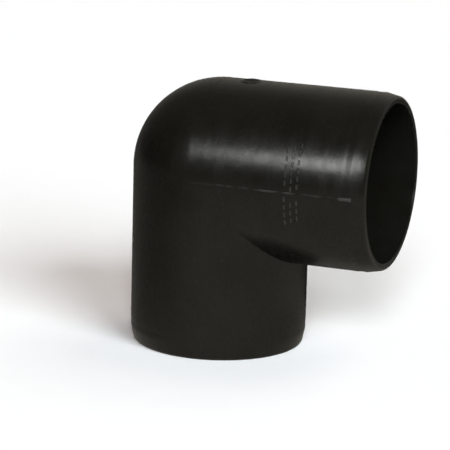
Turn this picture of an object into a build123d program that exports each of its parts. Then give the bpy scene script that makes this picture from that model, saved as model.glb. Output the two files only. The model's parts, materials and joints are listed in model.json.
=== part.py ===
"""Sewer hose elbow: a 90 degree elbow in black plastic, moulded in one piece.

It is modelled standing on its lower mouth, as it stands on a table. +Z runs up the upright
leg, +X runs out along the side leg, and the origin is the centre of the lower mouth.
All sizes are in millimetres and all angles in degrees.
"""

import os
from math import isclose, radians, tan

from build123d import *

# Driving dimensions: the outside of each leg, from its mouth to where the legs' axes cross
centre_to_end = 76.7
spigot_diameter = 76.2
spigot_length = 38.0
lead_in_length = 8.0
lead_in_depth = 1.4
lead_in_blend = 8.0
lip_chamfer = 0.7
bend_draft = 0.2

# Driving dimensions: the wall beside the mouth, and the drafted passage that it encloses
wall = 4.3
mouth_chamfer = 0.3
core_draft = 0.3

# Driving dimensions: the stub on top of the side leg, where the plastic was fed in and cut off
gate_offset = 12.5
gate_face_diameter = 7.5
gate_foot_diameter = 9.6
gate_height = 0.45
gate_root = 2.0

# Sizes that follow from them
spigot_radius = spigot_diameter / 2
lip_radius = spigot_radius - lead_in_depth
bend_radius = spigot_radius + (centre_to_end - spigot_length) * tan(radians(bend_draft))
mouth_radius = spigot_radius - wall
core_radius = mouth_radius - centre_to_end * tan(radians(core_draft))
gate_crown = centre_to_end + bend_radius - gate_offset * tan(radians(bend_draft))

# Where the legs' axes cross, the plane that the legs are mitred in, and the line through the
# crossing that the round back turns about
crossing = (0, 0, centre_to_end)
mitre = Plane(origin=crossing, z_dir=(1, 0, 1))
back_axis = Axis(crossing, (0, 1, 0))

os.makedirs("parts", exist_ok=True)

# The passage. Two drafted cores meet in the mitre plane, and a quarter turn of the upright
# core's end rounds the back of the bend.
with BuildPart() as passage:
    with BuildSketch(Plane.XZ):
        with BuildLine():
            Polyline(
                (0, 0),
                (mouth_radius, 0),
                (core_radius, centre_to_end),
                (0, centre_to_end),
                close=True,
            )
        make_face()
    revolve(axis=Axis.Z)
    split(bisect_by=mitre, keep=Keep.BOTTOM)
    mirror(about=mitre)
    with BuildSketch(Plane.XY.offset(centre_to_end)):
        Circle(core_radius)
        split(bisect_by=Plane.YZ, keep=Keep.BOTTOM)
    revolve(axis=back_axis, revolution_arc=90)

# The elbow. Each leg is a lead-in for the hose, a straight spigot that the hose grips, and a
# slightly drafted run to the bend. The legs meet in a sharp crease that is deepest in the
# crotch and fades out at the sides, and the back is a quarter turn of the leg's section.
with BuildPart() as elbow:
    with BuildSketch(Plane.XZ):
        with BuildLine():
            Polyline(
                (0, 0),
                (lip_radius, 0),
                (spigot_radius, lead_in_length),
                (spigot_radius, spigot_length),
                (bend_radius, centre_to_end),
                (0, centre_to_end),
                close=True,
            )
        make_face()
        lead_in_corner = vertices().group_by(Axis.Y)[1]
        fillet(lead_in_corner, radius=lead_in_blend)
        lip_corner = vertices().group_by(Axis.Y)[0].sort_by(Axis.X)[-1]
        chamfer(lip_corner, length=lip_chamfer)
    revolve(axis=Axis.Z)
    split(bisect_by=mitre, keep=Keep.BOTTOM)
    mirror(about=mitre)
    with BuildSketch(Plane.XY.offset(centre_to_end)):
        Circle(bend_radius)
        split(bisect_by=Plane.YZ, keep=Keep.BOTTOM)
    revolve(axis=back_axis, revolution_arc=90)

    # The gate's stub: a low cone with a cut face, rooted in the wall
    with Locations((gate_offset, 0, gate_crown)):
        Cone(
            bottom_radius=gate_foot_diameter / 2,
            top_radius=gate_face_diameter / 2,
            height=gate_height,
            align=(Align.CENTER, Align.CENTER, Align.MIN),
        )
        Cylinder(
            radius=gate_foot_diameter / 2,
            height=gate_root,
            align=(Align.CENTER, Align.CENTER, Align.MAX),
        )

    add(passage.part, mode=Mode.SUBTRACT)

    # The passage's two sharp mouth edges are broken
    circles = elbow.edges().filter_by(GeomType.CIRCLE)
    mouth_edges = circles.filter_by(lambda edge: isclose(edge.radius, mouth_radius))
    chamfer(mouth_edges, length=mouth_chamfer)

elbow.part.label = "elbow"
export_step(elbow.part, "parts/elbow.step")
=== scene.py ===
"""Sewer hose elbow, dressed for a studio picture.

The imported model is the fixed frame: its origin is the centre of the lower mouth, +Z runs up the
upright leg and +X runs out along the side leg. Everything here is in metres in that frame. The
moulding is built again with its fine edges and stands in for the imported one, and the parting
line, the gate's stub and the raised dashes are put on it.
"""

import json
import math

import bmesh
import bpy
from bpy.props import FloatProperty, FloatVectorProperty, IntProperty, PointerProperty
from mathutils import Matrix, Vector, noise


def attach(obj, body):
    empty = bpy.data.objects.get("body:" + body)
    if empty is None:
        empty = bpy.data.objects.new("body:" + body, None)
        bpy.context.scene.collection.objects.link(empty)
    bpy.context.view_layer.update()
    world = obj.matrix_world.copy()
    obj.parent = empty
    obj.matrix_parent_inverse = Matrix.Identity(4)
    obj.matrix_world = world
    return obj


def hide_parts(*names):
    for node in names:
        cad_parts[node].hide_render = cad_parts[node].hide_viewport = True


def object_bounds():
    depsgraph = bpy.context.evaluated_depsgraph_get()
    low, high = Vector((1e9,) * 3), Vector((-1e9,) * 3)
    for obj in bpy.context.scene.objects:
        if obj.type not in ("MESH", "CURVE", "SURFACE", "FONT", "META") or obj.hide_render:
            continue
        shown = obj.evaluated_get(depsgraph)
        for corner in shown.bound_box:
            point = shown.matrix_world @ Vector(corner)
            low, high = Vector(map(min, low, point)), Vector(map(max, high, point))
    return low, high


bl_info = {
    "name": "Sewer Hose Elbow",
    "version": (1, 0, 0),
    "blender": (4, 5, 0),
    "location": "3D View > Sidebar > Elbow",
    "description": "Models a moulded plastic sewer hose elbow with its studio",
    "category": "Object",
}

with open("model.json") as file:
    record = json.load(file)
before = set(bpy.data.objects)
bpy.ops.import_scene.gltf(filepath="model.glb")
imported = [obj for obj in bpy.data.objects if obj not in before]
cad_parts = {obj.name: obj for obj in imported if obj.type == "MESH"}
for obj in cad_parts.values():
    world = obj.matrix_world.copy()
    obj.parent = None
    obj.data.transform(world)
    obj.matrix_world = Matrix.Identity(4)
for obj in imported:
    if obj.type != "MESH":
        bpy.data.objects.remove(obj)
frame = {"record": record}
CAD_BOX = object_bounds()
MOUNTS = {mount["name"]: mount for mount in frame["record"]["mounts"]}
PICTURE_PIXELS = 450

MM = 0.001
BODY = "root"
NODE = "elbow"

# The tint of all that the plastic mirrors, apart from the soft boxes
GLOW_TINT = (1.0, 0.95, 0.83)


# Sizes, colours and settings


def length(name, description, default):
    """A size in metres that the sidebar shows."""
    return FloatProperty(name=name, description=description, default=default, min=0.0,
                         unit="LENGTH", subtype="DISTANCE", precision=5)


def angle(name, description, degrees):
    """An angle that the sidebar shows in degrees."""
    return FloatProperty(name=name, description=description, default=math.radians(degrees),
                         unit="ROTATION", subtype="ANGLE")


def colour(name, description, default):
    """A colour that the sidebar shows as a swatch."""
    return FloatVectorProperty(name=name, description=description, default=default,
                               subtype="COLOR", size=3, min=0.0, max=1.0)


class ElbowSizes(bpy.types.PropertyGroup):
    """Sizes of the moulding"""

    centre_to_end: length("Centre to end", "From each mouth to where the legs' axes cross",
                          MOUNTS["side_rim"]["pos_m"][0])
    spigot_radius: length("Spigot radius", "Outside radius of both legs",
                          MOUNTS["lower_spigot"]["dims"]["r_mm"] * MM)
    lead_in_length: length("Lead-in length", "Length of the taper at each mouth", 8.0 * MM)
    lead_in_depth: length("Lead-in depth", "How far the taper goes in", 1.4 * MM)
    groove_depth: length("Groove depth", "Depth of the faint groove where the taper starts",
                         0.15 * MM)
    groove_slope: length("Groove slope", "Length of each slope of that groove", 1.4 * MM)
    lip_round: length("Lip round", "Rounding of the outer edge of each mouth", 1.2 * MM)
    wall: length("Wall", "Wall of the legs beside the mouth", 4.3 * MM)
    mouth_round: length("Mouth round", "Rounding of the inner edge of each mouth", 0.4 * MM)
    core_draft: angle("Core draft", "Taper of the passage", 0.3)
    around: IntProperty(name="Around", description="Facets round a leg, a multiple of eight",
                        default=192, min=32, max=512, step=8)


class MarkSizes(bpy.types.PropertyGroup):
    """Sizes of what stands on the moulding"""

    parting_width: length("Parting line width", "Width of the raised line", 0.8 * MM)
    parting_height: length("Parting line height", "How far the line stands up", 0.12 * MM)
    gate_offset: length("Gate offset", "The gate's place along the side leg", 12.5 * MM)
    gate_foot: length("Gate foot", "Radius of the stub at its foot", 4.8 * MM)
    gate_face: length("Gate face", "Radius of the cut face", 3.3 * MM)
    gate_height: length("Gate height", "How far the stub stands up", 0.4 * MM)
    gate_root: length("Gate root", "How far the stub goes into the wall", 1.2 * MM)
    gate_tear: length("Gate tear", "How rough the cut face is", 0.1 * MM)
    nib_length: length("Nib length", "Length of the nib where the line ends", 5.2 * MM)
    nib_width: length("Nib width", "Width of that nib", 1.3 * MM)
    nib_thickness: length("Nib thickness", "Thickness of that nib, most of it in the wall",
                          0.5 * MM)
    nib_sink: length("Nib sink", "From the spigot's outside in to the nib's middle", 0.22 * MM)
    root: length("Root", "How far the line and the dashes go into the wall", 0.3 * MM)
    dash_rows: IntProperty(name="Dash rows", description="Rows of raised dashes", default=3, min=0)
    dash_width: length("Dash width", "Width of each raised dash", 0.9 * MM)
    dash_height: length("Dash height", "How far the dashes stand up", 0.3 * MM)
    dash_length: length("Dash length", "Length of each dash round the leg", 2.1 * MM)
    dash_gap: length("Dash gap", "From the end of a dash to the next", 1.3 * MM)
    dash_spacing: length("Dash spacing", "From one row to the next", 2.7 * MM)
    dash_offset: length("Dash offset", "Place of the first row along the side leg", 42.3 * MM)
    dash_low: angle("Lowest dash", "Where the rows start below the parting line", -21.0)
    dash_high: angle("Highest dash", "Where the rows end above the parting line", 33.0)


class FinishColours(bpy.types.PropertyGroup):
    """Colours of the plastic"""

    plastic: colour("Plastic", "Main colour of the plastic", (0.0032, 0.0029, 0.0020))
    plastic_pale: colour("Paler plastic", "Colour of its paler clouds", (0.0052, 0.0048, 0.0034))
    # Dust in the fine specks, and also the pale colour of the painted highlight on the parting
    # line, its nib and the raised dashes
    dust_and_sheen: colour("Scuff", "Colour of dust and rubbed spots", (0.042, 0.042, 0.038))
    inside: colour("Inside", "Colour of the passage's wall", (0.0050, 0.0052, 0.0042))
    torn: colour("Torn plastic", "Colour of the cut face", (0.004, 0.004, 0.004))


class StageSettings(bpy.types.PropertyGroup):
    """The floor, the lights and the camera"""

    floor: colour("Floor", "Colour of the floor", (0.87, 0.86, 0.85))
    azimuth: angle("Azimuth", "Camera's angle round the elbow", 21.3)
    elevation: angle("Elevation", "Camera's angle above the floor", 13.5)
    roll: angle("Roll", "Camera's turn about its own axis", 1.5)
    distance: length("Distance", "From the camera to the point it looks at", 1.065)
    focal_pixels: FloatProperty(name="Focal length",
                                description="Focal length in pixels of the picture",
                                default=2463.0, min=100.0)
    aim: FloatVectorProperty(name="Aim", description="The point that the camera looks at", size=3,
                             default=(0.00172, 0.00077, 0.05037), unit="LENGTH", subtype="XYZ")


# Meshes


def clear(name):
    """Takes away an object of an earlier run."""
    old = bpy.data.objects.get(name)
    if old is not None:
        bpy.data.objects.remove(old, do_unlink=True)


def add_object(name, mesh_builder, material):
    """Makes the finished mesh an object at the origin."""
    clear(name)
    mesh = bpy.data.meshes.new(name)
    mesh_builder.to_mesh(mesh)
    mesh_builder.free()
    mesh.materials.append(material)
    thing = bpy.data.objects.new(name, mesh)
    bpy.context.scene.collection.objects.link(thing)
    return thing


def add_piece(name, mesh_builder, material):
    """An object that belongs to the elbow and rides on its body."""
    piece = add_object(name, mesh_builder, material)
    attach(piece, BODY)
    return piece


def chain(mesh_builder, points):
    """A line of edges through the points."""
    corners = [mesh_builder.verts.new(point) for point in points]
    for first, second in zip(corners, corners[1:]):
        mesh_builder.edges.new((first, second))


def everything(mesh_builder):
    """All the geometry, as the operators take it."""
    return mesh_builder.verts[:] + mesh_builder.edges[:] + mesh_builder.faces[:]


def smooth(mesh_builder, sharp_angle):
    """Smooth faces, with the edges above an angle kept sharp."""
    for face in mesh_builder.faces:
        face.smooth = True
    for edge in mesh_builder.edges:
        edge.smooth = not edge.is_manifold or edge.calc_face_angle() < sharp_angle


def round_ring(mesh_builder, radius, height, amount, segments):
    """Rounds a ring of edges round the upright axis."""
    ring = [
        edge for edge in mesh_builder.edges
        if all(abs(corner.co.z - height) < 1e-6
               and abs(corner.co.xy.length - radius) < 1e-6 for corner in edge.verts)
    ]
    if not ring:
        raise RuntimeError("the moulding has no ring to round there")
    bmesh.ops.bevel(mesh_builder, geom=ring, offset=amount, offset_type="OFFSET",
                    segments=segments, profile=0.5, affect="EDGES", clamp_overlap=True,
                    material=-1)


def mitre_matrix(centre_to_end):
    """Takes a place in the frame to one whose X axis stands on the mitre plane."""
    normal = Vector((1, 0, 1)).normalized()
    side = Vector((0, 1, 0))
    placed = Matrix((normal, side, normal.cross(side))).transposed().to_4x4()
    placed.translation = Vector((0, 0, centre_to_end))
    return placed.inverted()


def on_core(face, sizes):
    """Whether a face belongs to the passage's wall, not to the outside or the rims."""
    middle = face.calc_center_median()
    crossing = Vector((0, 0, sizes.centre_to_end))

    # How far it is from its own leg's axis, or from the crossing on the back of the bend
    offset = middle - crossing
    if offset.x > -offset.z:
        offset.x = min(offset.x, 0.0)
    else:
        offset.z = max(offset.z, 0.0)
    at_rim = min(middle.z, sizes.centre_to_end - middle.x) < sizes.mouth_round
    return offset.length < sizes.spigot_radius - 0.8 * sizes.wall and not at_rim


def build_moulding(sizes):
    """One leg is spun, cut at the mitre and mirrored, and its end is turned round the back."""
    height = sizes.centre_to_end
    outer = sizes.spigot_radius
    inner = outer - sizes.wall
    core = inner - height * math.tan(sizes.core_draft)
    lip = outer - sizes.lead_in_depth
    crossing = Vector((0, 0, height))

    # A faint ridge ends the taper, and a shallow groove follows it
    slope = sizes.groove_slope
    ridge = outer - 0.55 * sizes.groove_depth
    ridge_height = sizes.lead_in_length - 1.2 * slope
    groove = outer - sizes.groove_depth
    groove_height = sizes.lead_in_length + 0.7 * slope
    outer_height = groove_height + slope

    # The leg's section: down the passage, across the rim, and up the taper and the outside
    mesh_builder = bmesh.new()
    chain(mesh_builder, [(core, 0, height), (inner, 0, 0), (lip, 0, 0), (ridge, 0, ridge_height),
                         (groove, 0, groove_height), (outer, 0, outer_height),
                         (outer, 0, height)])
    bmesh.ops.spin(mesh_builder, geom=everything(mesh_builder), cent=(0, 0, 0), axis=(0, 0, 1),
                   angle=math.tau, steps=sizes.around, use_merge=True)
    round_ring(mesh_builder, inner, 0, sizes.mouth_round, 4)
    round_ring(mesh_builder, lip, 0, sizes.lip_round, 6)
    round_ring(mesh_builder, ridge, ridge_height, 0.35 * slope, 4)
    round_ring(mesh_builder, groove, groove_height, 0.25 * slope, 3)
    round_ring(mesh_builder, outer, outer_height, 0.3 * slope, 3)

    # What is past the mitre plane is cut away, and the rest is mirrored in that plane
    bmesh.ops.bisect_plane(mesh_builder, geom=everything(mesh_builder), dist=1e-7,
                           plane_co=crossing, plane_no=(1, 0, 1), clear_outer=True)
    bmesh.ops.mirror(mesh_builder, geom=everything(mesh_builder),
                     matrix=mitre_matrix(height), merge_dist=0.0, axis="X")
    bmesh.ops.remove_doubles(mesh_builder, verts=mesh_builder.verts[:], dist=1e-6)

    # A quarter turn of the open end makes the round back of the bend
    open_end = [
        edge for edge in mesh_builder.edges
        if edge.is_boundary
        and all(abs(corner.co.z - height) < 1e-6 and corner.co.x < 1e-6
                for corner in edge.verts)
    ]
    corners = list({corner for edge in open_end for corner in edge.verts})
    bmesh.ops.spin(mesh_builder, geom=corners + open_end, cent=crossing, axis=(0, 1, 0),
                   angle=math.pi / 2, steps=sizes.around // 4)
    bmesh.ops.remove_doubles(mesh_builder, verts=mesh_builder.verts[:], dist=2e-6)
    bmesh.ops.recalc_face_normals(mesh_builder, faces=mesh_builder.faces[:])
    if any(not edge.is_manifold for edge in mesh_builder.edges):
        raise RuntimeError("the moulding isn't closed")
    smooth(mesh_builder, math.radians(12))
    for face in mesh_builder.faces:
        face.material_index = int(on_core(face, sizes))
    return mesh_builder


# Materials


def fresh_material(name):
    """A material with nodes, in place of one of an earlier run."""
    old = bpy.data.materials.get(name)
    if old is not None:
        bpy.data.materials.remove(old)
    material = bpy.data.materials.new(name)
    material.use_nodes = True
    return material


def new_material(name):
    """An empty material, its nodes and its shader."""
    material = fresh_material(name)
    nodes = material.node_tree.nodes
    shader = next(node for node in nodes if node.type == "BSDF_PRINCIPLED")
    return material, nodes, material.node_tree.links, shader


def noise_node(nodes, links, place, scale, detail, roughness=0.5):
    """Noise at so many waves to the metre, read from a place."""
    node = nodes.new("ShaderNodeTexNoise")
    node.inputs["Scale"].default_value = scale
    node.inputs["Detail"].default_value = detail
    node.inputs["Roughness"].default_value = roughness
    links.new(place, node.inputs["Vector"])
    return node.outputs["Fac"]


def ranged(nodes, links, value, low, high, to_low, to_high):
    """A value brought from one range into another."""
    node = nodes.new("ShaderNodeMapRange")
    node.inputs["From Min"].default_value = low
    node.inputs["From Max"].default_value = high
    node.inputs["To Min"].default_value = to_low
    node.inputs["To Max"].default_value = to_high
    links.new(value, node.inputs["Value"])
    return node.outputs["Result"]


def mixed(nodes, links, share, first, second):
    """Two colours mixed by a share. Each is a colour or a socket."""
    node = nodes.new("ShaderNodeMix")
    node.data_type = "RGBA"
    links.new(share, node.inputs["Factor"])
    a_socket = next(s for s in node.inputs if s.identifier == "A_Color")
    b_socket = next(s for s in node.inputs if s.identifier == "B_Color")
    for socket, value in ((a_socket, first), (b_socket, second)):
        if isinstance(value, bpy.types.NodeSocket):
            links.new(value, socket)
        else:
            socket.default_value = (*value, 1.0)
    return next(s for s in node.outputs if s.identifier == "Result_Color")


def dotted(nodes, links, vector, direction):
    """How far a vector reaches along a direction."""
    node = nodes.new("ShaderNodeVectorMath")
    node.operation = "DOT_PRODUCT"
    node.inputs[1].default_value = direction
    links.new(vector, node.inputs[0])
    return node.outputs["Value"]


def bumped(nodes, links, height, distance, strength, under=None):
    """A bump of a real height in metres, over another one where given."""
    node = nodes.new("ShaderNodeBump")
    node.inputs["Distance"].default_value = distance
    node.inputs["Strength"].default_value = strength
    links.new(height, node.inputs["Height"])
    if under is not None:
        links.new(under, node.inputs["Normal"])
    return node.outputs["Normal"]


def black_plastic(name, colours, rubbed_and_sheen=0.0):
    """Satin black plastic with faint clouds and streaks, a fine grain and a few dull spots.

    The last argument is the share of the paler colour laid all over it, a painted highlight that
    makes raised marks show; the specks themselves are dust.
    """
    material, nodes, links, shader = new_material(name)
    place = nodes.new("ShaderNodeTexCoord").outputs["Object"]

    clouds = noise_node(nodes, links, place, 38.0, 4.0, 0.6)
    share = ranged(nodes, links, clouds, 0.35, 0.7, 0.0, 1.0)
    body = mixed(nodes, links, share, colours.plastic, colours.plastic_pale)
    # Dust specks, and where a share is given, the painted highlight of the paler colour all over
    specks = noise_node(nodes, links, place, 900.0, 2.0, 0.6)
    speck_share = ranged(nodes, links, specks, 0.66, 0.8, rubbed_and_sheen, rubbed_and_sheen + 0.2)
    links.new(mixed(nodes, links, speck_share, body, colours.dust_and_sheen), shader.inputs["Base Color"])

    stretched = nodes.new("ShaderNodeMapping")
    stretched.inputs["Scale"].default_value = (1.0, 0.12, 0.12)
    links.new(place, stretched.inputs["Vector"])
    streaks = noise_node(nodes, links, stretched.outputs["Vector"], 260.0, 3.0, 0.6)
    blotches = noise_node(nodes, links, place, 110.0, 5.0, 0.65)
    both = nodes.new("ShaderNodeMath")
    both.operation = "ADD"
    links.new(streaks, both.inputs[0])
    links.new(blotches, both.inputs[1])
    links.new(ranged(nodes, links, both.outputs[0], 0.75, 1.25, 0.22, 0.31),
              shader.inputs["Roughness"])

    swell = noise_node(nodes, links, place, 30.0, 2.0)
    ripple = noise_node(nodes, links, place, 220.0, 2.0)
    grain = noise_node(nodes, links, place, 1700.0, 3.0, 0.6)
    under = bumped(nodes, links, swell, 0.00035, 0.35)
    under = bumped(nodes, links, ripple, 0.00007, 0.7, under)
    links.new(bumped(nodes, links, grain, 0.00002, 0.5, under), shader.inputs["Normal"])
    shader.inputs["Specular IOR Level"].default_value = 0.3
    return material


def line_plastic(name, colours):
    """The parting line, painted pale in patches along the side leg and most of all at its nib: a
    painted highlight, partly on rubbed plastic.
    """
    material, nodes, links, shader = new_material(name)
    place = nodes.new("ShaderNodeTexCoord").outputs["Object"]
    along = dotted(nodes, links, place, (1.0, 0.0, 0.0))
    patches = noise_node(nodes, links, place, 130.0, 2.0, 0.6)
    rubbed_and_sheen = ranged(nodes, links, patches, 0.42, 0.58, 0.0, 1.0)

    # How much the pale patches of painted highlight show, by the share of the way from the
    # upright's axis to the mouth
    mouth = MOUNTS["side_rim"]["pos_m"][0]
    strength = nodes.new("ShaderNodeValToRGB")
    stops = ((0.0, 0.0), (0.04, 0.07), (0.36, 0.08), (0.40, 0.31), (0.56, 0.28), (0.60, 0.18),
             (0.73, 0.18), (0.77, 0.0))
    ramp = strength.color_ramp
    for number, (position, level) in enumerate(stops):
        stop = ramp.elements[number] if number < 2 else ramp.elements.new(position)
        stop.position = position
        stop.color = (level, level, level, 1.0)
    links.new(ranged(nodes, links, along, 0.0, mouth, 0.0, 1.0), strength.inputs["Fac"])
    product = nodes.new("ShaderNodeMath")
    product.operation = "MULTIPLY"
    links.new(rubbed_and_sheen, product.inputs[0])
    links.new(strength.outputs["Color"], product.inputs[1])

    # The nib is painted pale all over as a painted highlight, from just before it starts
    nib_start = 66.0 * MM
    nib = ranged(nodes, links, along, nib_start - 0.5 * MM, nib_start, 0.0, 0.5)
    total = nodes.new("ShaderNodeMath")
    total.operation = "MAXIMUM"
    links.new(product.outputs[0], total.inputs[0])
    links.new(nib, total.inputs[1])
    # The line's colour is the plastic paled by that painted highlight
    links.new(mixed(nodes, links, total.outputs[0], colours.plastic, colours.dust_and_sheen),
              shader.inputs["Base Color"])
    links.new(ranged(nodes, links, patches, 0.3, 0.7, 0.3, 0.45), shader.inputs["Roughness"])
    shader.inputs["Specular IOR Level"].default_value = 0.3
    return material


def core_plastic(name, colours):
    """The passage's wall, which a smooth core left sleeker than the outside."""
    material, nodes, links, shader = new_material(name)
    place = nodes.new("ShaderNodeTexCoord").outputs["Object"]
    clouds = noise_node(nodes, links, place, 45.0, 4.0, 0.6)
    share = ranged(nodes, links, clouds, 0.35, 0.7, 0.0, 1.0)
    links.new(mixed(nodes, links, share, colours.plastic, colours.inside),
              shader.inputs["Base Color"])
    links.new(ranged(nodes, links, clouds, 0.3, 0.7, 0.08, 0.12), shader.inputs["Roughness"])
    swell = noise_node(nodes, links, place, 40.0, 2.0)
    links.new(bumped(nodes, links, swell, 0.00025, 0.3), shader.inputs["Normal"])
    shader.inputs["Specular IOR Level"].default_value = 0.3
    return material


def torn_plastic(name, colours):
    """The dull, broken plastic of the cut face."""
    material, nodes, links, shader = new_material(name)
    place = nodes.new("ShaderNodeTexCoord").outputs["Object"]
    crumbs = noise_node(nodes, links, place, 1100.0, 5.0, 0.7)
    share = ranged(nodes, links, crumbs, 0.4, 0.75, 0.0, 1.0)
    links.new(mixed(nodes, links, share, colours.torn, colours.plastic_pale),
              shader.inputs["Base Color"])
    links.new(ranged(nodes, links, crumbs, 0.3, 0.7, 0.55, 0.85), shader.inputs["Roughness"])
    links.new(bumped(nodes, links, crumbs, 0.00012, 0.8), shader.inputs["Normal"])
    shader.inputs["Specular IOR Level"].default_value = 0.25
    return material


def floor_paper(name, stage):
    """Pale paper with hardly any texture."""
    material, nodes, links, shader = new_material(name)
    place = nodes.new("ShaderNodeTexCoord").outputs["Object"]
    fibres = noise_node(nodes, links, place, 60.0, 4.0, 0.6)
    share = ranged(nodes, links, fibres, 0.3, 0.7, 0.0, 1.0)
    darker = tuple(0.985 * part for part in stage.floor)
    links.new(mixed(nodes, links, share, tuple(stage.floor), darker), shader.inputs["Base Color"])
    shader.inputs["Roughness"].default_value = 0.9
    shader.inputs["Specular IOR Level"].default_value = 0.1
    return material


# Pieces


class ELBOW_OT_moulding(bpy.types.Operator):
    """Build the elbow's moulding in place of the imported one"""

    bl_idname = "elbow.moulding"
    bl_label = "Moulding"

    def execute(self, context):
        scene = context.scene
        material = black_plastic("black_plastic", scene.elbow_colours)
        piece = add_piece("elbow_moulding", build_moulding(scene.elbow_sizes), material)
        piece.data.materials.append(core_plastic("core_plastic", scene.elbow_colours))
        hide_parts(NODE)
        return {"FINISHED"}


class ELBOW_OT_gate_stub(bpy.types.Operator):
    """Build the stub on top of the side leg, with its torn face"""

    bl_idname = "elbow.gate_stub"
    bl_label = "Gate stub"

    def execute(self, context):
        scene = context.scene
        sizes, marks = scene.elbow_sizes, scene.elbow_marks
        crown = sizes.centre_to_end + sizes.spigot_radius
        face_height = crown + marks.gate_height
        middle_height = crown + (marks.gate_height - marks.gate_root) / 2
        coarse_waves, fine_waves = 900, 2300
        mesh_builder = bmesh.new()
        bmesh.ops.create_cone(mesh_builder, cap_ends=True, segments=56, radius1=marks.gate_foot,
                              radius2=marks.gate_foot, depth=marks.gate_height + marks.gate_root)
        bmesh.ops.translate(mesh_builder, verts=mesh_builder.verts[:],
                            vec=(marks.gate_offset, 0, middle_height))
        mesh_builder.faces.ensure_lookup_table()
        top = max(mesh_builder.faces, key=lambda face: face.calc_center_median().z)

        # Its rim slopes up to the cut face in three rings, and the face itself has four
        shoulder = (marks.gate_foot - marks.gate_face) / 3
        steps = [(shoulder, 0)] * 3 + [(marks.gate_face / 5, 1)] * 4
        for thickness, material_index in steps:
            ring = bmesh.ops.inset_region(mesh_builder, faces=[top], thickness=thickness)
            for face in ring["faces"]:
                face.material_index = material_index
        top.material_index = 1

        # The rim is bent down to the leg, and the face is torn by coarse and fine noise
        for corner in mesh_builder.verts:
            if corner.co.z > face_height - 1e-6:
                reach = Vector((corner.co.x - marks.gate_offset, corner.co.y)).length
                climb = (marks.gate_foot - reach) / (marks.gate_foot - marks.gate_face)
                climb = max(0.0, min(1.0, climb))
                rough = (noise.noise(corner.co * coarse_waves)
                         + 0.6 * noise.noise(corner.co * fine_waves))
                rise = marks.gate_height * climb ** 1.5 + marks.gate_tear * climb * (rough - 0.4)
                corner.co.z = min(crown + rise, CAD_BOX[1].z)
        bmesh.ops.recalc_face_normals(mesh_builder, faces=mesh_builder.faces[:])
        smooth(mesh_builder, math.radians(35))
        piece = add_piece("gate_stub", mesh_builder,
                          black_plastic("stub_plastic", scene.elbow_colours))
        piece.data.materials.append(torn_plastic("torn_plastic", scene.elbow_colours))
        return {"FINISHED"}


def ridge_section(mesh_builder, centre, out, across, width, height, sunk):
    """A low ridge's cross-section as a face: its foot is in the wall and its top is narrower."""
    foot, top, shoulder = 0.5, 0.22, 0.2 * height
    shape = ((-foot, -sunk), (-foot, shoulder), (-top, height), (top, height),
             (foot, shoulder), (foot, -sunk))
    corners = [mesh_builder.verts.new(centre + across * (width * share) + out * rise)
               for share, rise in shape]
    return mesh_builder.faces.new(corners)


class ELBOW_OT_parting_line(bpy.types.Operator):
    """Build the faint raised line where the halves of the mould met"""

    bl_idname = "elbow.parting_line"
    bl_label = "Parting line"

    def execute(self, context):
        scene = context.scene
        sizes, marks = scene.elbow_sizes, scene.elbow_marks
        run_end = sizes.centre_to_end - sizes.lead_in_length
        up = Vector((0, 0, 1))
        steps = 120
        waves = 260
        fading = 5 * MM
        nib_edge = 0.07 * MM
        mesh_builder = bmesh.new()
        for side in (-1, 1):
            # Along the leg, from the lead-in to where the bend turns away
            out = Vector((0, side, 0))
            start = Vector((run_end, side * sizes.spigot_radius, sizes.centre_to_end))
            end = [ridge_section(mesh_builder, start, out, up, marks.parting_width,
                                 marks.parting_height, marks.root)]
            inside = []
            for number in range(steps):
                grown = bmesh.ops.extrude_face_region(mesh_builder, geom=end)["geom"]
                corners = [part for part in grown if isinstance(part, bmesh.types.BMVert)]
                inside.extend(end if number else [])
                end = [part for part in grown if isinstance(part, bmesh.types.BMFace)]
                bmesh.ops.translate(mesh_builder, verts=corners, vec=(-run_end / steps, 0, 0))
            bmesh.ops.delete(mesh_builder, geom=[face for face in inside if face.is_valid],
                             context="FACES_ONLY")

        # The line is uneven along the leg, and fades out at the bend
        for corner in mesh_builder.verts:
            rise = abs(corner.co.y) - sizes.spigot_radius
            if rise > 0:
                kept = 0.55 + 0.9 * noise.noise(corner.co * waves)
                kept = max(0.15, min(1.0, kept)) * min(1.0, corner.co.x / fading)
                corner.co.y -= math.copysign(rise * (1 - kept), corner.co.y)

        # The nib where the line ends, turned a little the way that the lead-in tapers
        taper = math.atan2(sizes.lead_in_depth, sizes.lead_in_length)
        middle = Vector((run_end, marks.nib_sink - sizes.spigot_radius, sizes.centre_to_end))
        placed = (Matrix.Translation(middle)
                  @ Matrix.Rotation(0.15 * taper, 4, "Z")
                  @ Matrix.Diagonal((marks.nib_length, marks.nib_thickness, marks.nib_width, 1.0)))
        nib = bmesh.ops.create_cube(mesh_builder, size=1.0, matrix=placed)["verts"]
        edges = list({edge for corner in nib for edge in corner.link_edges})
        bmesh.ops.bevel(mesh_builder, geom=edges, offset=nib_edge, offset_type="OFFSET",
                        segments=2, profile=0.5, affect="EDGES", clamp_overlap=True, material=-1)
        bmesh.ops.recalc_face_normals(mesh_builder, faces=mesh_builder.faces[:])
        smooth(mesh_builder, math.radians(50))
        add_piece("parting_line", mesh_builder, line_plastic("line_plastic", scene.elbow_colours))
        return {"FINISHED"}


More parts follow.
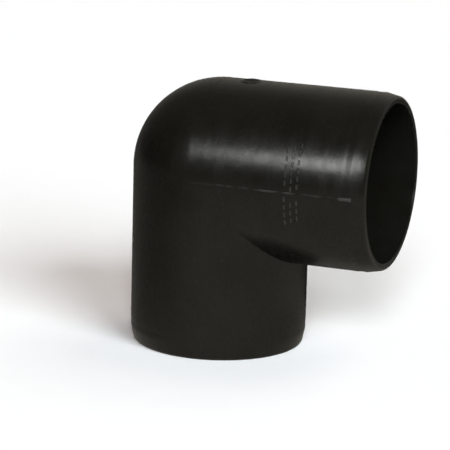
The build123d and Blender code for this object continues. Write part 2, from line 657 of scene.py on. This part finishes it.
class ELBOW_OT_raised_dashes(bpy.types.Operator):
    """Build the rows of plain raised dashes on the near side of the side leg"""

    bl_idname = "elbow.raised_dashes"
    bl_label = "Raised dashes"

    def execute(self, context):
        scene = context.scene
        sizes, marks = scene.elbow_sizes, scene.elbow_marks
        axis_height = Vector((0, 0, sizes.centre_to_end))
        turn = marks.dash_length / sizes.spigot_radius
        pitch = turn + marks.dash_gap / sizes.spigot_radius
        near_line = math.radians(4.6)
        line_gap = 0.02
        mesh_builder = bmesh.new()
        for row in range(marks.dash_rows):
            angle_now = marks.dash_low + row * pitch / 3
            while angle_now + turn < marks.dash_high:
                # The dashes are low beside the parting line, where the leg is widest, and one
                # that would cross the line is left out
                height = marks.dash_height
                if angle_now < near_line and angle_now + turn > -near_line:
                    height = marks.parting_height
                if angle_now > line_gap or angle_now + turn < -line_gap:
                    out = Vector((0, -math.cos(angle_now), math.sin(angle_now)))
                    centre = (axis_height + out * sizes.spigot_radius
                              + Vector((marks.dash_offset + row * marks.dash_spacing, 0, 0)))
                    section = ridge_section(mesh_builder, centre, out, Vector((1, 0, 0)),
                                            marks.dash_width, height, marks.root)
                    bmesh.ops.spin(mesh_builder, geom=[section], cent=axis_height, axis=(1, 0, 0),
                                   angle=-turn, steps=4)
                angle_now += pitch
        bmesh.ops.recalc_face_normals(mesh_builder, faces=mesh_builder.faces[:])
        smooth(mesh_builder, math.radians(50))
        # The dashes get a painted highlight: they are paler all over so that they show
        material = black_plastic("dash_plastic", scene.elbow_colours, rubbed_and_sheen=0.3)
        add_piece("raised_dashes", mesh_builder, material)
        return {"FINISHED"}


# Stage


def towards(azimuth, elevation):
    """The direction that a camera or light lies in, as seen from the elbow. Azimuth 0 is -Y."""
    return Vector((math.sin(azimuth) * math.cos(elevation),
                   -math.cos(azimuth) * math.cos(elevation), math.sin(elevation)))


def turned_to(back, roll=0.0):
    """A turn whose Z axis is the given direction, with its Y axis up but for the roll."""
    right = Vector((0, 0, 1)).cross(back).normalized()
    up = back.cross(right)
    across = right * math.cos(roll) + up * math.sin(roll)
    upward = up * math.cos(roll) - right * math.sin(roll)
    return Matrix((across, upward, back)).transposed().to_4x4()


def add_soft_box(name, azimuth, elevation, distance, width, height, radiance, tilt):
    """A soft rectangular light turned to the elbow's middle, seen only as a mirror image."""
    middle = Vector((0.02, 0.0, 0.07))
    clear(name)
    data = bpy.data.lights.new(name, "AREA")
    data.shape = "RECTANGLE"
    data.size = width
    data.size_y = height
    data.energy = radiance * math.pi * width * height
    light = bpy.data.objects.new(name, data)
    bpy.context.scene.collection.objects.link(light)
    back = towards(math.radians(azimuth), math.radians(elevation))
    light.matrix_world = (Matrix.Translation(middle + back * distance)
                          @ turned_to(back, math.radians(tilt)))
    light.visible_camera = False
    light.visible_diffuse = False


def add_sun(name, azimuth, elevation, softness, strength, shade):
    """A light so far off that it lights the whole floor evenly, and that nothing mirrors."""
    clear(name)
    data = bpy.data.lights.new(name, "SUN")
    data.energy = strength
    data.angle = math.radians(softness)
    data.color = shade
    light = bpy.data.objects.new(name, data)
    bpy.context.scene.collection.objects.link(light)
    light.matrix_world = turned_to(towards(math.radians(azimuth), math.radians(elevation)))
    light.visible_glossy = False


def studio_world(scene):
    """A room that the plastic mirrors as dim, and palest behind the elbow.

    It gives a little even light and looks white itself.
    """
    world = bpy.data.worlds.new("studio")
    scene.world = world
    world.use_nodes = True
    nodes, links = world.node_tree.nodes, world.node_tree.links
    background = next(node for node in nodes if node.type == "BACKGROUND")
    direction = nodes.new("ShaderNodeTexCoord").outputs["Generated"]

    # What the plastic mirrors: a wide glow high behind the elbow and a small one low behind it
    behind = dotted(nodes, links, direction, (0.3, 0.72, 0.6))
    low = dotted(nodes, links, direction, (0.1, 0.95, 0.3))
    room = nodes.new("ShaderNodeMath")
    room.operation = "ADD"
    links.new(ranged(nodes, links, behind, -0.2, 0.9, 0.035, 0.19), room.inputs[0])
    links.new(ranged(nodes, links, low, 0.66, 0.95, 0.0, 0.165), room.inputs[1])
    glare = mixed(nodes, links, room.outputs[0], (0.0, 0.0, 0.0), GLOW_TINT)

    # What it gives to the floor and shows to the camera instead
    rays = nodes.new("ShaderNodeLightPath").outputs
    soft = mixed(nodes, links, rays["Is Diffuse Ray"], glare, (0.110, 0.064, 0.036))
    links.new(mixed(nodes, links, rays["Is Camera Ray"], soft, (1.0, 1.0, 1.0)),
              background.inputs["Color"])
    background.inputs["Strength"].default_value = 1.0


def table_glow(name):
    """The table as the plastic mirrors it: brightest in front on the right, dark behind."""
    material = fresh_material(name)
    nodes, links = material.node_tree.nodes, material.node_tree.links
    nodes.clear()
    place = nodes.new("ShaderNodeTexCoord").outputs["Object"]

    # It glows ahead of the elbow, and fades out at the left
    unit = nodes.new("ShaderNodeVectorMath")
    unit.operation = "NORMALIZE"
    links.new(place, unit.inputs[0])
    facing = math.radians(38)
    ahead = dotted(nodes, links, unit.outputs["Vector"], (math.sin(facing), -math.cos(facing), 0.0))
    front = ranged(nodes, links, ahead, -0.55, 0.4, 0.0, 1.0)
    across = dotted(nodes, links, place, (1.0, 0.0, 0.0))
    sheet = ranged(nodes, links, across, -0.19, -0.03, 0.0, 1.0)
    lit = nodes.new("ShaderNodeMath")
    lit.operation = "MULTIPLY"
    links.new(front, lit.inputs[0])
    links.new(sheet, lit.inputs[1])

    # Elsewhere it is dim, and dimmest behind on the right
    away = dotted(nodes, links, unit.outputs["Vector"], (0.8, 0.6, 0.0))
    shade = ranged(nodes, links, away, -0.8, 0.9, 0.17, 0.01)
    both = nodes.new("ShaderNodeMix")
    links.new(lit.outputs[0], both.inputs["Factor"])
    links.new(shade, both.inputs["A"])
    both.inputs["B"].default_value = 0.47

    # The floor under the side leg is in its shade
    under = nodes.new("ShaderNodeVectorMath")
    under.operation = "DISTANCE"
    under.inputs[1].default_value = (0.062, 0.010, 0.0)
    links.new(place, under.inputs[0])
    shaded = nodes.new("ShaderNodeMath")
    shaded.operation = "MULTIPLY"
    links.new(ranged(nodes, links, under.outputs["Value"], 0.02, 0.07, 0.55, 1.0), shaded.inputs[0])
    links.new(both.outputs["Result"], shaded.inputs[1])

    glow = nodes.new("ShaderNodeEmission")
    links.new(shaded.outputs[0], glow.inputs["Strength"])
    glow.inputs["Color"].default_value = (*GLOW_TINT, 1.0)
    links.new(glow.outputs["Emission"], nodes.new("ShaderNodeOutputMaterial").inputs["Surface"])
    return material


class ELBOW_OT_stage(bpy.types.Operator):
    """Set the floor, the studio's light and the camera"""

    bl_idname = "elbow.stage"
    bl_label = "Stage"

    def execute(self, context):
        scene = context.scene
        stage = scene.elbow_stage
        floor_reach = 4.0
        card_reach = 1.1
        card_drop = 0.2 * MM

        # The floor, which the plastic doesn't mirror
        mesh_builder = bmesh.new()
        bmesh.ops.create_grid(mesh_builder, x_segments=1, y_segments=1, size=floor_reach)
        floor = add_object("floor", mesh_builder, floor_paper("floor_paper", stage))
        floor.visible_glossy = False

        # A card just below it, which the plastic mirrors in its place
        mesh_builder = bmesh.new()
        bmesh.ops.create_grid(mesh_builder, x_segments=1, y_segments=1, size=card_reach)
        bmesh.ops.translate(mesh_builder, verts=mesh_builder.verts[:], vec=(0, 0, -card_drop))
        table = add_object("table_glow", mesh_builder, table_glow("table_glow"))
        table.visible_camera = False
        table.visible_diffuse = False
        table.visible_shadow = False

        # The light
        add_soft_box("soft_box", azimuth=-4, elevation=29.5, distance=1.2, width=0.64,
                     height=0.25, radiance=18.0, tilt=12)
        add_soft_box("box_centre", azimuth=2, elevation=30, distance=1.15, width=0.22,
                     height=0.2, radiance=12.0, tilt=12)
        add_sun("right_key", azimuth=54, elevation=28, softness=34, strength=4.12,
                shade=(0.856, 0.951, 1.0))
        add_sun("front_key", azimuth=20, elevation=28, softness=16, strength=2.79,
                shade=(0.91, 0.945, 1.0))
        add_sun("back_fill", azimuth=140, elevation=55, softness=40, strength=0.65,
                shade=(1.0, 0.94, 0.875))
        studio_world(scene)

        # The camera
        clear("camera")
        data = bpy.data.cameras.new("camera")
        camera = bpy.data.objects.new("camera", data)
        scene.collection.objects.link(camera)
        data.sensor_width = 36.0
        data.lens = stage.focal_pixels * data.sensor_width / PICTURE_PIXELS
        data.clip_start = 0.05
        data.clip_end = 30.0
        back = towards(stage.azimuth, stage.elevation)
        camera.matrix_world = (Matrix.Translation(Vector(stage.aim) + back * stage.distance)
                               @ turned_to(back, stage.roll))
        scene.camera = camera
        scene.view_settings.view_transform = "Standard"
        return {"FINISHED"}


# Sidebar and registration


class ELBOW_PT_sidebar(bpy.types.Panel):
    """The elbow's sizes, colours and pieces"""

    bl_label = "Sewer Hose Elbow"
    bl_idname = "ELBOW_PT_sidebar"
    bl_space_type = "VIEW_3D"
    bl_region_type = "UI"
    bl_category = "Elbow"

    def draw(self, context):
        scene = context.scene
        for group in (scene.elbow_sizes, scene.elbow_marks, scene.elbow_colours, scene.elbow_stage):
            box = self.layout.box()
            for name in group.__annotations__:
                box.prop(group, name)
        for operator in OPERATORS:
            self.layout.operator(operator.bl_idname)


OPERATORS = (ELBOW_OT_moulding, ELBOW_OT_gate_stub, ELBOW_OT_parting_line, ELBOW_OT_raised_dashes,
             ELBOW_OT_stage)
GROUPS = {
    "elbow_sizes": ElbowSizes,
    "elbow_marks": MarkSizes,
    "elbow_colours": FinishColours,
    "elbow_stage": StageSettings,
}


def register():
    """Adds the groups of sizes, the operators and the panel."""
    for group in GROUPS.values():
        bpy.utils.register_class(group)
    for name, group in GROUPS.items():
        setattr(bpy.types.Scene, name, PointerProperty(type=group))
    for operator in OPERATORS:
        bpy.utils.register_class(operator)
    bpy.utils.register_class(ELBOW_PT_sidebar)


def unregister():
    """Takes them away again."""
    bpy.utils.unregister_class(ELBOW_PT_sidebar)
    for operator in reversed(OPERATORS):
        bpy.utils.unregister_class(operator)
    for name in GROUPS:
        delattr(bpy.types.Scene, name)
    for group in reversed(GROUPS.values()):
        bpy.utils.unregister_class(group)


def main():
    """Builds the pieces and the stage."""
    register()
    bpy.ops.elbow.moulding()
    bpy.ops.elbow.gate_stub()
    bpy.ops.elbow.parting_line()
    bpy.ops.elbow.raised_dashes()
    bpy.ops.elbow.stage()
    bpy.context.view_layer.update()


if __name__ == "__main__":
    main()
